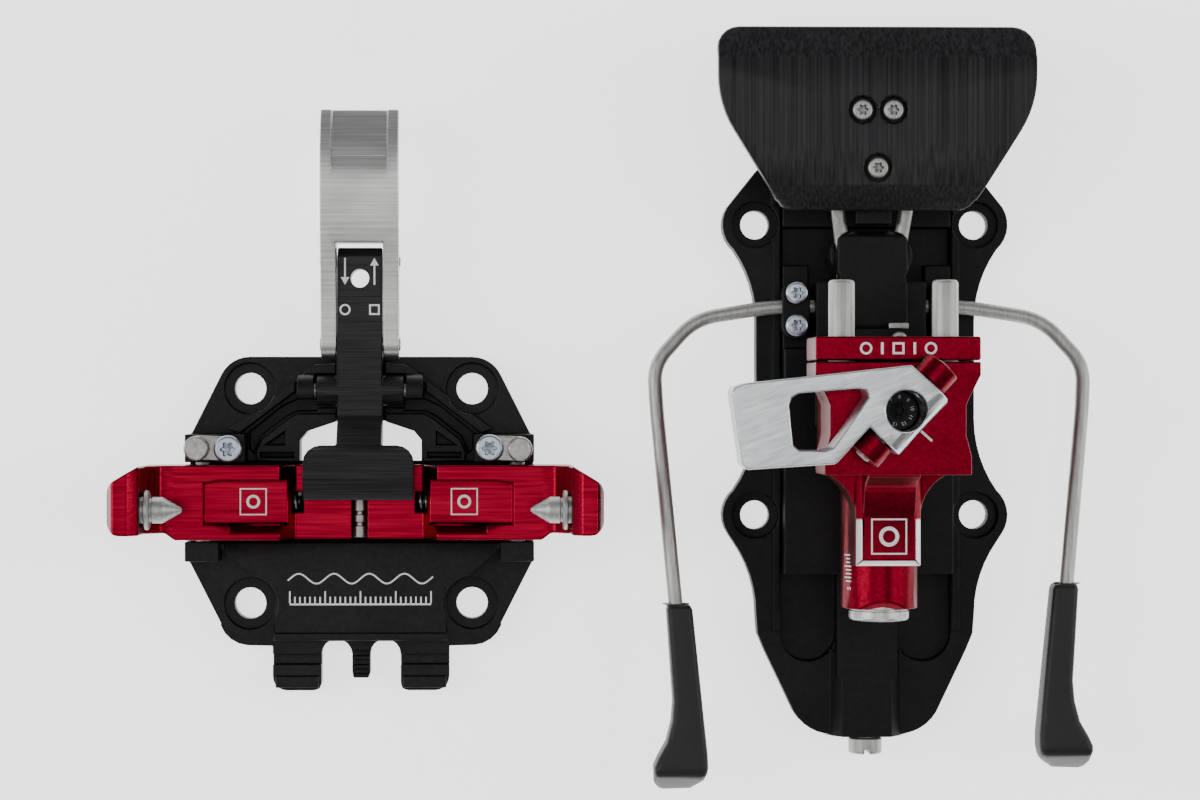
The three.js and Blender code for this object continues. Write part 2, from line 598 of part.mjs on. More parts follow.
// Square shoulders, then sides that curve in to a narrow rear edge.
function padOutlinePoints() {
  return [
    ...arcPoints(26.7, 87.7, 4.3, 90, 0, 5),
    ...arcPoints(10.6, 82.3, 20.4, 0, -32, 6),
    [19.6, 58.2],
    ...arcPoints(16.2, 59.6, 3.4, -30, -90, 3),
  ];
}

// The pedal: a flat middle with its front and rear bands bent down.
function brakePad() {
  const side = [
    [92, 20.2], [92, 16.6], [91.2, 15.8], [85.4, PAD_TOP - 2.6], [69, PAD_TOP - 2.6],
    [60.8, PAD_TOP - 3.4], [56.2, PAD_TOP - 6.2], [56.2, PAD_TOP - 3.4], [60.8, PAD_TOP - 0.8],
    [69, PAD_TOP], [85.4, PAD_TOP],
  ];
  const bent = sideProfile(side, -32, 32);
  const plan = plate(mirroredOutline(padOutlinePoints()), 5, 40);
  const bores = PAD_SCREWS.map(([x, y]) => join(
    rod(1.3, [x, y, 10], [x, y, 40], SMALL_ROUND),
    rod(2.7, [x, y, PAD_TOP - 1.5], [x, y, 40], SMALL_ROUND),
  ));
  return cut(bent.intersect(plan), ...bores);
}

function wirePoints(armFront) {
  return [
    [8.6, 71.5, 17.6], [7.2, 60, 15.2], [5.2, 46, 12.2], [5.2, BRAKE_Y, BRAKE_Z], [19, BRAKE_Y, BRAKE_Z],
    [34.6, 35.2, BRAKE_Z + 0.4], [42.7, 26.2, 10.4], [42.3, 18, 11], [38.1, armFront - 6, 14],
  ];
}

function brakeWire(armFront) {
  return bentRod(wirePoints(armFront), 4.5, WIRE_R, WIRE_STEPS, 8);
}

// The room that a wire needs in the pieces that hold it.
function wireChannel(armFront) {
  return bentRod(wirePoints(armFront), 4.5, WIRE_R + 0.3, WIRE_STEPS, 8);
}

// A foot leans inward, flares outward at its tip and ends in a slanted face.
function brakeFoot(armFront) {
  const plan = outline([
    [35.6, 0], [40.6, 0], [39.3, -19], [39.6, -23], [40.6, -27], [42.3, -30], [43.1, -31.8],
    [43, -35], [42.1, -36.6], [35.8, -36.4], [33, -34.6], [32.5, -32], [32.6, -29.4],
  ].map(([x, y]) => [x, armFront + y]));
  const side = [
    [0, 11], [0, 17], [-24, 18], [-33.4, 18.8], [-36.8, 13.4], [-36.8, 12.2], [-28, 11.2],
  ].map(([y, z]) => [armFront + y, z]);
  const body = sideProfile(side, 30, 46).intersect(plate(plan, 5, 25));
  return cut(body, wireChannel(armFront));
}

// The block that turns with the brake: a hub round its axis and a hammer-shaped plate on top.
function brakeBlock(wireChannel) {
  const camRadius = 7.7;
  const side = [
    ...arcPoints(BRAKE_Y, BRAKE_Z, 4.5, 190, 350, 10), [52.4, 9.8], [52.4, 14.6], [51.4, BLOCK_TOP],
    ...arcPoints(BRAKE_Y, BRAKE_Z, camRadius, 118, 150, 4),
  ];
  const body = sideProfile(side, -10.9, 10.9);
  const plan = mirroredOutline([
    ...arcPoints(3.5, 47.7, 4.7, 90, -35, 8), [6.5, 43.6], [6.5, 42.4], [10.9, 42.4], [10.9, 29],
  ]);
  const hubOnly = box(6.9, 12, 25, 55, BRAKE_Z + 4.6, 30);
  const springWell = rod(4.3, [-3.7, BRAKE_Y, BRAKE_Z], [3.7, BRAKE_Y, BRAKE_Z]);
  const springMouth = box(-3.7, 3.7, BRAKE_Y - 4.3, BRAKE_Y + 4.3, 0, BRAKE_Z);
  return cut(body.intersect(plate(plan, 0, 30)), bothSides(hubOnly), springWell, springMouth, ...wireChannel);
}

function brakeClamp() {
  const [screwFront, screwRear] = CLAMP_SCREW_Y;
  const plan = stadium(CLAMP_SCREW_X, screwRear, CLAMP_SCREW_X, screwFront, 2.7);
  const block = plate(plan, CLAMP_SEAT + GAP, CLAMP_TOP);
  const axisBore = rod(WIRE_R + 0.35, [8, BRAKE_Y, BRAKE_Z], [20, BRAKE_Y, BRAKE_Z]);
  const screwBores = CLAMP_SCREW_Y.map((y) => {
    return rod(1.5, [CLAMP_SCREW_X, y, 0], [CLAMP_SCREW_X, y, 20], SMALL_ROUND);
  });
  return cut(block, axisBore, ...screwBores);
}

// The slider that keeps the brake stowed.
function brakeLatch() {
  const nose = box(-7.2, 7.2, 28.8, 34.5, CARRIAGE_TOP + GAP, BLOCK_TOP);
  const prong = box(7.9, 11, 14, 31.6, CARRIAGE_TOP + GAP, 13);
  const bridge = box(-11, 11, 28.8, 31.6, CARRIAGE_TOP + GAP, 13);
  const camRelief = rod(8.1, [-12, BRAKE_Y, BRAKE_Z], [12, BRAKE_Y, BRAKE_Z], 40);
  const screwBores = [-5.1, 5.1].map((x) => rod(0.9, [x, 31, 8], [x, 31, 20], SMALL_ROUND));
  return cut(join(nose, bothSides(prong), bridge), camRelief, ...screwBores);
}

function padBracket(wireChannel) {
  const side = [
    [60.8, 13.2], [78.5, 14.6], [78.5, PAD_TOP - 2.9], [69, PAD_TOP - 2.9], [60.8, PAD_TOP - 3.8],
  ];
  const bores = PAD_SCREWS.map(([x, y]) => rod(1.3, [x, y, 16.4], [x, y, 40], SMALL_ROUND));
  const spine = box(-3.5, 3.5, 53.6, 62, 13.6, 17);
  return cut(join(sideProfile(side, -10.8, 10.8), spine), ...bores, ...wireChannel);
}

function addBrake() {
  const channels = [mirrorX(wireChannel(ARM_FRONT_LEFT)), wireChannel(ARM_FRONT_RIGHT)];
  addPart(heel, 'brake_pad', brakePad(), BLACK_ANODISED);
  PAD_SCREWS.forEach(([x, y], i) => {
    addPart(heel, `brake_pad_screw_${i + 1}`, capScrew(x, y, PAD_TOP - 1.4, 2, 1.3, 1.1, 5), STEEL);
  });
  addPart(heel, 'brake_pad_bracket', padBracket(channels), MATTE_BLACK);
  addPart(heel, 'brake_block', brakeBlock(channels), MATTE_BLACK);
  const springEnds = [[-3.4, BRAKE_Y, BRAKE_Z], [3.4, BRAKE_Y, BRAKE_Z]];
  addPart(heel, 'brake_spring', springSleeve(3.9, 0.7, 5, ...springEnds), SPRING_STEEL);
  const latch = brakeLatch();
  addPart(heel, 'brake_latch', latch, MATTE_BLACK);
  [-5.1, 5.1].forEach((x, i) => {
    addPart(heel, `latch_screw_${i + 1}`, capScrew(x, 31, BLOCK_TOP + 0.1, 1.6, 1, 0.75, 2.1), STEEL);
  });
  const clip = box(3, 6.9, 33.2, 34.3, BLOCK_TOP + GAP, BLOCK_TOP + 1.1);
  addPart(heel, 'latch_clip', clip, NICKEL);
  for (const side of [-1, 1]) {
    const name = side < 0 ? 'left' : 'right';
    const armFront = side < 0 ? ARM_FRONT_LEFT : ARM_FRONT_RIGHT;
    const place = (solid) => (side < 0 ? mirrorX(solid) : solid);
    addPart(heel, `brake_wire_${name}`, place(brakeWire(armFront)), STEEL);
    addPart(heel, `brake_foot_${name}`, place(brakeFoot(armFront)), BLACK_PLASTIC);
    addPart(heel, `brake_clamp_${name}`, place(brakeClamp()), MATTE_BLACK);
    CLAMP_SCREW_Y.forEach((y, i) => {
      const screw = capScrew(side * CLAMP_SCREW_X, y, CLAMP_TOP + 0.1, 2.2, 1.7, 1.2, 3.8);
      addPart(heel, `clamp_screw_${name}_${i + 1}`, screw, ZINC);
    });
  }
}

// ---- turret, measured from its vertical axis ---------------------------------------------------
const turret = new THREE.Group();
turret.position.y = TURRET_Y;
heel.add(turret);

const hingeDirection = new THREE.Vector3(Math.cos(RISER_ANGLE), Math.sin(RISER_ANGLE), 0);

// A point on the riser's hinge axis, so far from the turret's axis.
const onHinge = (along) => hingeDirection.clone().multiplyScalar(along).setZ(RISER_Z).toArray();

function turretSpindle() {
  const steps = [[0, 0], [7, 0], [7, 2], [5.7, 2.4], [5.7, 28], [0, 28]];
  const low = CARRIAGE_TOP + GAP;
  const column = turned(steps, new THREE.Vector3(0, 0, low), new THREE.Vector3(0, 0, 60), ROUND);
  return join(column, rod(3, [0, 0, 7.9], [0, 0, low + 1]));
}

// A pin's splay slot in a wall, wide enough for the pin to spread outward.
function splaySlot(rear, front) {
  const spread = 0.9;
  const far = HEEL_PIN_X + spread;
  const inner = rod(2.75, [HEEL_PIN_X, rear, HEEL_PIN_Z], [HEEL_PIN_X, front, HEEL_PIN_Z]);
  const outer = rod(2.75, [far, rear, HEEL_PIN_Z], [far, front, HEEL_PIN_Z]);
  const middle = box(HEEL_PIN_X, far, rear, front, HEEL_PIN_Z - 2.72, HEEL_PIN_Z + 2.72);
  return join(inner, outer, middle);
}

// A ridge with chamfered edges along the top of the tube, and a ramp up to the block.
function turretSpine() {
  const section = [[-6.2, 28], [6.2, 28], [6.2, 36.4], [5, SPINE_TOP], [-5, SPINE_TOP], [-6.2, 36.4]];
  const side = [[-12, 28], [-12, SPINE_TOP], [-28.3, SPINE_TOP], [-29.5, 36.4], [-29.5, 28]];
  const ridge = frontProfile(section, -29.5, -12).intersect(sideProfile(side, -7, 7));
  const ramp = sideProfile([
    [-8, 30], [-8, 45], [-12.4, 45], [-13.6, 41], [-15.4, 39.4], [-19, 38.4],
    [-20.4, SPINE_TOP], [-20.4, 30],
  ], -4.9, 4.9);
  return join(ridge, ramp);
}

function turretLugs() {
  const lugs = [-1, 1].map((end) => {
    const barrel = rod(3.5, onHinge(end * 7.1), onHinge(end * 11));
    const post = new THREE.BoxGeometry(3.9, 5, RISER_Z - TURRET_TOP + 1);
    const centre = hingeDirection.clone().multiplyScalar(end * 9.05);
    post.rotateZ(RISER_ANGLE).translate(centre.x, centre.y, (RISER_Z + TURRET_TOP - 1) / 2);
    return join(barrel, toSolid(post));
  });
  return join(...lugs);
}

// A wide head over a narrower foot, with the release tube behind and a flared neck between them.
function turretBody() {
  const head = plate(mirroredOutline([
    [15.3, 9], [15.3, 6.6], [13.2, 2.4], [12.6, 1], [12.6, -4.6], [13.6, -8.4], [13.6, -11.9], [9, -11.9],
  ]), TURRET_SHOULDER, TURRET_TOP);
  const foot = box(-TURRET_FOOT, TURRET_FOOT, -11.9, 9, TURRET_LOW, TURRET_SHOULDER + 1);
  const neckWaist = rod(9, [15.2, -20.2, 10], [15.2, -20.2, 60], 40);
  const neck = cut(box(-12.4, 12.4, -20.2, -10, TUBE_Z, 36), bothSides(neckWaist));
  const tube = rod(7.4, [0, -5, TUBE_Z], [0, -38.2, TUBE_Z], 32);
  const body = join(head, foot, neck, turretSpine(), tube, turretLugs());
  const spindleBore = rod(6, [0, 0, 10], [0, 0, 39.4]);
  const springBore = rod(5.5, [0, -7.4, TUBE_Z], [0, -40, TUBE_Z]);
  const capBore = rod(6.2, [0, -35.3, TUBE_Z], [0, -40, TUBE_Z]);
  const tubeNotch = sideProfile([[-36.4, 31.6], [-40, 28], [-40, 34], [-36.4, 34]], -8, 8);
  const pinCavity = box(6.6, 13.2, 2.6, 10, HEEL_PIN_Z - 2.9, HEEL_PIN_Z + 2.9);
  const dialWell = rod(DIAL_R + 0.3, [0, 0, TURRET_TOP - 4], [0, 0, 60]);
  const pinBores = rod(1.75, onHinge(-13), onHinge(13), SMALL_ROUND);
  const plateRoom = box(-16, 16, 9, 20, 0, TURRET_TOP + GAP);
  const bores = [spindleBore, springBore, capBore, dialWell, pinBores];
  return cut(body, ...bores, bothSides(pinCavity), tubeNotch, plateRoom);
}

function turretFrontPlate() {
  const face = frontProfile([
    [-TURRET_FOOT, TURRET_LOW + 1], [TURRET_FOOT, TURRET_LOW + 1], [TURRET_FOOT, TURRET_SHOULDER],
    [15.3, TURRET_SHOULDER], [15.3, TURRET_TOP], [-15.3, TURRET_TOP], [-15.3, TURRET_SHOULDER],
    [-TURRET_FOOT, TURRET_SHOULDER],
  ], 9.3, 13.7);
  return cut(face, bothSides(splaySlot(8, 15)));
}

// The second step of the climbing aid, on a hinge across the turret's top.
function riser() {
  const low = TURRET_TOP + GAP;
  const top = RISER_Z + 4.8;
  const body = plate(outline([
    [0.9, 8.3], [-16.4, 6.5], [-29.3, 5], [-31.2, 4.4], [-31.7, 3.4], [-29.8, -9.6],
    [-29, -10.7], [-13.2, -9.7], [-12.6, -9.4], [-6.6, -2.9], [-1.8, -8.3], [-1.3, -8.2],
    [7.9, 1.6], [7.8, 2.1],
  ]), low, top);
  const window = plate(outline([
    [-21.3, 1.1], [-20.8, 2.4], [-19.5, 3.1], [-8.8, 4], [-7.4, 3.8], [-6.8, 2.6],
    [-13.3, -6.7], [-14.8, -7.2], [-19.5, -7.1], [-20.6, -6.2],
  ]), 40, 70);
  const far = 40;
  const side = new THREE.BoxGeometry(far, far, far);
  side.translate(0, -far / 2, 0).rotateZ(RISER_ANGLE).translate(0, 0, RISER_Z);
  const hub = rod(5.2, onHinge(-9), onHinge(9), 32);
  const beyondHinge = cut(toSolid(side), hub);
  const lugRoom = [-1, 1].map((end) => {
    const post = new THREE.BoxGeometry(9.2, 16, far).translate(end * 11.4, -5.2, RISER_Z);
    return join(rod(4.25, onHinge(end * 6.8), onHinge(end * 14)), toSolid(post.rotateZ(RISER_ANGLE)));
  });
  const dialWindow = rod(3.75, [0, 0, 40], [0, 0, 70], 28);
  const pinBore = rod(1.8, onHinge(-9), onHinge(9), SMALL_ROUND);
  return cut(body, window, beyondHinge, ...lugRoom, dialWindow, pinBore);
}

function addTurret() {
  addPart(turret, 'turret_spindle', turretSpindle(), STEEL);
  addPart(turret, 'turret_body', turretBody(), RED_ANODISED);
  addPart(turret, 'turret_front_plate', turretFrontPlate(), RED_ANODISED);
  for (const side of [-1, 1]) {
    const name = side < 0 ? 'left' : 'right';
    const x = side * HEEL_PIN_X;
    const pin = chamferedRod(2.45, [x, 3, HEEL_PIN_Z], [x, 24.4, HEEL_PIN_Z], 0.6);
    addPart(turret, `heel_pin_${name}`, pin, STEEL);
  }
  const spring = springSleeve(5.2, 0.9, 9, [0, -8, TUBE_Z], [0, -33.4, TUBE_Z]);
  addPart(turret, 'release_spring', spring, SPRING_STEEL);
  const capSteps = [[0, 0], [5.2, 0], [5.2, 2], [5.8, 2.4], [5.8, 6.6], [5, 7.1], [0, 7.1]];
  const cap = turned(capSteps, new THREE.Vector3(0, -33.6, TUBE_Z), new THREE.Vector3(0, -50, TUBE_Z), 28);
  const coinSlot = box(-4, 4, -41, -40, TUBE_Z - 0.6, TUBE_Z + 0.6);
  addPart(turret, 'release_cap', cut(cap, coinSlot), SILVER);
  const dialTop = TURRET_TOP - 0.1;
  const dial = rod(DIAL_R, [0, 0, TURRET_TOP - 3.7], [0, 0, dialTop], 28);
  const driver = rod(1.2, [0, 0, dialTop - 1.5], [0, 0, 60], 6);
  addPart(turret, 'lateral_dial', cut(dial, driver), BLACK_ANODISED);
  addPart(turret, 'riser', riser(), RAW_ALUMINIUM);
  [-1, 1].forEach((end, i) => {
    const pin = chamferedRod(1.5, onHinge(end * 4.1), onHinge(end * 11.4), 0.2, SMALL_ROUND);
    addPart(turret, `riser_pin_${i + 1}`, pin, STEEL);
  });
}

function addHeelUnit() {
  addPart(heel, 'heel_base', heelBase(), MATTE_BLACK);
  addPart(heel, 'carriage', carriage(), MATTE_BLACK);
  addPart(heel, 'adjuster_screw', adjusterScrew(), STEEL);
  addBrake();
  addTurret();
}

addToeUnit();
addHeelUnit();

export default group;
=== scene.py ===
"""Looks of a ski touring binding: materials, fine edges, turned parts, coils and engraved marks."""
import json
import math

import bmesh
import bpy
from mathutils import Matrix, Vector


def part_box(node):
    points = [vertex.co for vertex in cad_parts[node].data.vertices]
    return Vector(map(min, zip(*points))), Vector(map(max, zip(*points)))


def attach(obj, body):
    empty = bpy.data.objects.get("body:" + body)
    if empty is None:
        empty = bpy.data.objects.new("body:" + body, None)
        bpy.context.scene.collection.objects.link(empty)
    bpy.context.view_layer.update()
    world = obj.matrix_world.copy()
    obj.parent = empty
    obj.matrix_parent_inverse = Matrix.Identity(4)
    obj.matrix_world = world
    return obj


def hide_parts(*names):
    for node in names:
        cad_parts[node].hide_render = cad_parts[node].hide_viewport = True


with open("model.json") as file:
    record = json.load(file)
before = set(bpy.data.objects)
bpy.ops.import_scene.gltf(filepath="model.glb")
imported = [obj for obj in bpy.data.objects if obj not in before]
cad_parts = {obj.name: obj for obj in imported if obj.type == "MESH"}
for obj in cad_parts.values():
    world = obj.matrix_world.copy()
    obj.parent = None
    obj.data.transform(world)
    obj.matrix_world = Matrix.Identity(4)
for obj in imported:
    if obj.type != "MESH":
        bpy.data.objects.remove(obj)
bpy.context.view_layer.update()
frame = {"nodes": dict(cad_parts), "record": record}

MM = 0.001
HEEL = Vector((100.9, 0, 0))          # the heel unit's centre line, in mm
TURRET = Vector((100.9, 17.2, 0))     # the turret's vertical axis, in mm
NODES = frame["nodes"]
BODY_OF = {n: body for body, names in frame["record"]["behaviour"]["bodies"].items() for n in names}
SLOT_OF = {row["node"]: row["material_slot"] for row in frame["record"]["subparts"]}
SIDES = ((-1, "left"), (1, "right"))

# sizes of the CAD model that the fine pieces and the marks follow, in mm
WIRE_RADIUS = 1.4
WIRE_BEND = 4.5                       # how far from a corner the brake wire's bend begins
PIN_RADIUS = 2.45                     # of the heel pins
DIAL_RADIUS = 3.65
TUBE_AXIS = 24                        # height of the release spring's axis
TUBE_RADIUS = 7.4
SPINE_TOP = 37.6                      # top of the ridge along the turret's tube
POCKET_FLOOR = 15.2                   # floor of the pockets on the jaws
TOE_DECK = 8.0
ARM_TOP = 11.4


# ---- camera, light and floor -------------------------------------------------------------------
def make_camera():
    """Looks almost straight down, as on a copy stand."""
    place = Vector((24.16, 19.16, 560.5)) * MM
    target = Vector((35.96, 19.16, 4.5)) * MM
    camera = bpy.data.objects.new("camera", bpy.data.cameras.new("camera"))
    camera.data.lens = 83.4
    camera.data.sensor_width = 36
    camera.data.shift_x = 0.049
    camera.data.clip_start = 0.01
    back = (place - target).normalized()
    right = Vector((0, 1, 0)).cross(back).normalized()
    up = back.cross(right)
    turn = Matrix((right, up, back)).transposed().to_4x4()
    camera.matrix_world = Matrix.Translation(place) @ turn
    bpy.context.scene.collection.objects.link(camera)
    bpy.context.scene.camera = camera


def area_light(name, place, target, size, power):
    """A rectangular softbox turned to a point; places in metres, power in watts."""
    light = bpy.data.objects.new(name, bpy.data.lights.new(name, "AREA"))
    light.data.shape = "RECTANGLE"
    light.data.size, light.data.size_y = size
    light.data.energy = power
    light.location = place
    light.rotation_euler = (Vector(target) - Vector(place)).to_track_quat("-Z", "Y").to_euler()
    bpy.context.scene.collection.objects.link(light)


def make_studio():
    """A light table under the part, one wide softbox above it, two at the sides and one behind."""
    centre = (0.05, 0.02, 0.01)
    area_light("softbox_above", (0.0, 0.05, 1.25), centre, (0.85, 0.75), 3.0)
    area_light("softbox_left", (-0.95, 0.1, 0.75), centre, (0.5, 1.0), 7)
    area_light("softbox_right", (1.0, 0.1, 0.7), centre, (0.4, 1.0), 4.5)
    area_light("softbox_rear", (0.05, -1.0, 0.5), centre, (0.9, 0.3), 1.5)
    world = bpy.data.worlds.new("studio")
    bpy.context.scene.world = world
    world.use_nodes = True
    sky = world.node_tree.nodes["Background"]
    sky.inputs["Color"].default_value = (0.96, 0.98, 1, 1)
    sky.inputs["Strength"].default_value = 0.3
    make_floor(half=3.0, below=0.4 * MM)


def make_floor(half, below):
    """A glowing white sheet that ends far outside the picture."""
    corners = [(-half, -half, 0), (half, -half, 0), (half, half, 0), (-half, half, 0)]
    mesh = bpy.data.meshes.new("floor")
    mesh.from_pydata(corners, [], [(0, 1, 2, 3)])
    floor = bpy.data.objects.new("floor", mesh)
    floor.location.z = -below
    bpy.context.scene.collection.objects.link(floor)
    paper = Shader("studio_paper", color=(0.93, 0.93, 0.93), roughness=0.9, specular=0.1)
    paper.bsdf.inputs["Emission Color"].default_value = (1, 1, 1, 1)
    paper.bsdf.inputs["Emission Strength"].default_value = 1.7
    floor.data.materials.append(paper.material)


# ---- material building blocks --------------------------------------------------------------------
class Shader:
    """A principled material to which colour, roughness and bump detail are added by node."""

    def __init__(self, name, color, roughness, metallic=0.0, specular=0.5):
        self.material = bpy.data.materials.new(name)
        self.material.use_nodes = True
        self.tree = self.material.node_tree
        self.bsdf = self.tree.nodes["Principled BSDF"]
        self.bsdf.inputs["Base Color"].default_value = (*color, 1)
        self.bsdf.inputs["Roughness"].default_value = roughness
        self.bsdf.inputs["Metallic"].default_value = metallic
        self.bsdf.inputs["Specular IOR Level"].default_value = specular
        self.normal = None

    def add(self, kind, settings=(), **values):
        """A node with its settings, and its sockets linked or set by name."""
        node = self.tree.nodes.new(kind)
        for name, value in dict(settings).items():
            setattr(node, name, value)
        for name, value in values.items():
            socket = node.inputs[name.replace("_", " ")]
            if isinstance(value, bpy.types.NodeSocket):
                self.tree.links.new(value, socket)
            else:
                socket.default_value = value
        return node

    def place(self, scale=(1, 1, 1), turn=0.0, centre=(0, 0, 0)):
        """The object's own coordinates, stretched, and turned about +Z in degrees."""
        coordinates = self.add("ShaderNodeTexCoord").outputs["Object"]
        spin = self.add("ShaderNodeMapping", Vector=coordinates, Rotation=(0, 0, math.radians(turn)),
                        Location=tuple(-v for v in centre))
        return self.add("ShaderNodeMapping", Vector=spin.outputs[0], Scale=scale).outputs[0]

    def noise(self, fineness, detail=3.0, rough=0.55, **where):
        """Uneven tones, or fine lines where the place is stretched one way."""
        vector = self.place(**where)
        return self.add("ShaderNodeTexNoise", Vector=vector, Scale=fineness, Detail=detail,
                        Roughness=rough).outputs["Fac"]

    def rings(self, pitch, centre, distortion=0.6):
        """Concentric tool marks round a point, with the given pitch."""
        vector = self.place(centre=centre)
        wave = self.add("ShaderNodeTexWave", {"wave_type": "RINGS", "rings_direction": "Z"}, Vector=vector,
                        Scale=0.31 / pitch, Distortion=distortion, Detail=2.0, Detail_Scale=3.0)
        return wave.outputs["Fac"]

    def spread(self, value, low, high, source=(0.3, 0.7)):
        """Stretches the source range of a value to run from low to high."""
        node = self.add("ShaderNodeMapRange", Value=value, From_Min=source[0], From_Max=source[1],
                        To_Min=low, To_Max=high)
        return node.outputs[0]

    def combine(self, operation, first, second):
        """A sum, product or other result of two values."""
        node = self.add("ShaderNodeMath", {"operation": operation})
        for socket, value in zip(node.inputs, (first, second)):
            if isinstance(value, bpy.types.NodeSocket):
                self.tree.links.new(value, socket)
            else:
                socket.default_value = value
        return node.outputs[0]

    def tint(self, value, dark, light, source=(0.3, 0.7)):
        """Base colour that moves between two tones with a texture."""
        fac = self.spread(value, 0, 1, source)
        mix = self.add("ShaderNodeMix", {"data_type": "RGBA"}, Factor=fac)
        mix.inputs[6].default_value = (*dark, 1)
        mix.inputs[7].default_value = (*light, 1)
        self.tree.links.new(mix.outputs[2], self.bsdf.inputs["Base Color"])

    def gloss(self, value, low, high, source=(0.3, 0.7)):
        self.tree.links.new(self.spread(value, low, high, source), self.bsdf.inputs["Roughness"])

    def scratch(self, amount):
        """Bright hairlines that run all ways, like handling marks on bare metal."""
        for i in range(amount):
            hairs = self.noise(300 + 60 * i, 1.0, 0.4, scale=(0.02, 1, 1), turn=25 * i + 11,
                               centre=(0.013 * i, 0, 0))
            self.bump(self.spread(hairs, 0, 1, (0.66, 0.72)), 0.12, 0.00003)

    def bare_chamfers(self, bare):
        """Shows bare metal on the sloping edges along the turret's spine."""
        coordinates = self.add("ShaderNodeTexCoord").outputs
        face = self.add("ShaderNodeSeparateXYZ", Vector=coordinates["Normal"]).outputs
        spot = self.add("ShaderNodeSeparateXYZ", Vector=coordinates["Object"]).outputs
        side = self.combine("ABSOLUTE", face["X"], 0)
        rear = self.combine("MULTIPLY", face["Y"], -1)
        mask = self.spread(self.combine("MAXIMUM", side, rear), 0, 1, (0.5, 0.6))
        limits = [
            (face["Z"], (0.5, 0.6)),
            (spot["Z"], ((SPINE_TOP - 1.5) * MM, (SPINE_TOP - 1.3) * MM)),
            (spot["Z"], ((SPINE_TOP + 0.5) * MM, (SPINE_TOP + 0.3) * MM)),
            (spot["Y"], (-3.2 * MM, -3.6 * MM)),
        ]
        for value, edge in limits:
            mask = self.combine("MULTIPLY", mask, self.spread(value, 0, 1, edge))
        dyed = self.bsdf.inputs["Base Color"].links[0].from_socket
        mix = self.add("ShaderNodeMix", {"data_type": "RGBA"}, Factor=mask)
        self.tree.links.new(dyed, mix.inputs[6])
        mix.inputs[7].default_value = (*bare, 1)
        self.tree.links.new(mix.outputs[2], self.bsdf.inputs["Base Color"])

    def bump(self, height, strength, distance):
        """Adds relief on top of the relief that is there already."""
        node = self.add("ShaderNodeBump", Height=height, Strength=strength, Distance=distance)
        if self.normal is not None:
            self.tree.links.new(self.normal, node.inputs["Normal"])
        self.normal = node.outputs[0]
        self.tree.links.new(self.normal, self.bsdf.inputs["Normal"])


def anodised(name, dark, light, roughness, metallic, specular, along=(1, 1, 1), line_scale=900,
             line_bump=0.12):
    """Dyed aluminium: fine tool lines under a slightly uneven dye, with a pinprick texture."""
    shader = Shader(name, dark, roughness[0], metallic, specular)
    lines = shader.noise(line_scale, 2.0, 0.5, scale=along)
    cloud = shader.noise(55, 4.0)
    shader.tint(lines, dark, light, (0.25, 0.8))
    shader.gloss(cloud, *roughness)
    shader.bump(lines, line_bump, 0.00004)
    shader.bump(shader.noise(2600, 2.0), 0.05, 0.00003)
    return shader


def metal(name, dark, light, roughness, along=(1, 1, 1), line_scale=2200, line_bump=0.15, turn=0.0):
    """Bare or plated metal with brushed or turned lines."""
    shader = Shader(name, light, roughness[0], 1.0)
    lines = shader.noise(line_scale, 3.0, 0.6, scale=along, turn=turn)
    shader.tint(lines, dark, light, (0.3, 0.75))
    shader.gloss(shader.noise(120, 4.0, 0.6), *roughness)
    shader.bump(lines, line_bump, 0.00004)
    return shader


def blacks():
    """Dyed aluminium: plain milled, arm and pedal with tool lines, and blasted."""
    across, lengthwise = (0.02, 1, 1), (1, 0.008, 1)
    return {
        "black_anodised": anodised("black_anodised", (0.004, 0.004, 0.0045), (0.011, 0.011, 0.012),
                                   (0.32, 0.46), 0.06, 0.16),
        "black_arm": anodised("black_arm", (0.004, 0.004, 0.0045), (0.028, 0.028, 0.03),
                              (0.3, 0.42), 0.2, 0.2, across, 3400, 0.5),
        "black_pedal": anodised("black_pedal", (0.006, 0.006, 0.007), (0.036, 0.036, 0.038),
                                (0.3, 0.44), 0.25, 0.2, lengthwise, 1900, 0.3),
        "matte_black": anodised("matte_black", (0.003, 0.003, 0.0035), (0.007, 0.007, 0.0075),
                                (0.4, 0.56), 0.04, 0.15),
    }


def reds():
    """The jaws' milled lines run across; the turret's walls are planed and its top is turned."""
    jaws = anodised("red_anodised", (0.12, 0.0015, 0.008), (0.3, 0.005, 0.024),
                    (0.22, 0.34), 1.0, 0.5, (0.03, 1, 1), 2400, 0.3)
    turret = anodised("turret_red", (0.11, 0.0012, 0.007), (0.22, 0.004, 0.018),
                      (0.26, 0.38), 1.0, 0.5, (1, 1, 0.05), 1800, 0.12)
    turret.bump(turret.rings(0.55, tuple((TURRET + Vector((9, -20, 0))) * MM)), 0.22, 0.00005)
    turret.bare_chamfers((0.62, 0.62, 0.62))
    return {"red_anodised": jaws, "turret_red": turret}


